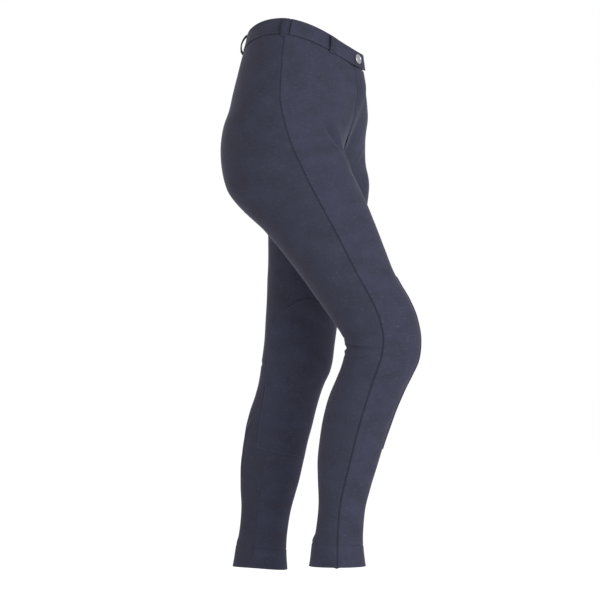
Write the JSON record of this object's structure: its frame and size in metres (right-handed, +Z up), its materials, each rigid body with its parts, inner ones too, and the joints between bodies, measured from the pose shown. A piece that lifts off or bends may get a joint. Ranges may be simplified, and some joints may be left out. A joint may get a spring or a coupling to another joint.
{
  "type": "jodhpurs",
  "caption": "Close-fitting riding trousers in navy stretch cloth, filled out as worn in mid stride, with fly front, belt loops and inner knee patches; waist and hems open.",
  "frame": {"origin": "middle of the waist, halfway up the waistband, where the wearer holds the garment", "axes": "+Z up the wearer, the front faces -Y, the wearer's right is -X"},
  "size_m": [0.3468, 0.3919, 0.9504],
  "materials": {
    "stretch_cloth": "matt stretch knit",
    "trim_cloth": "matt stretch knit, the wrong side or a second layer",
    "metal": "silvery, satin"
  },
  "bodies": {
    "root": {"right_front": "stretch_cloth", "right_back": "stretch_cloth", "left_front": "stretch_cloth", "left_back": "stretch_cloth", "waistband_right": "stretch_cloth", "waistband_left": "stretch_cloth", "fly_front": "stretch_cloth", "fly_zip": "trim_cloth", "zip_slider": "metal", "belt_loop_back_right": "trim_cloth", "belt_loop_back_left": "trim_cloth", "belt_loop_side_right": "trim_cloth", "belt_loop_side_left": "trim_cloth", "belt_loop_front_right": "trim_cloth", "belt_loop_front_left": "trim_cloth", "knee_patch_right": "trim_cloth", "knee_patch_left": "trim_cloth", "hem_right": "trim_cloth", "hem_left": "trim_cloth", "waist_button": "metal"}
  },
  "joints": []
}
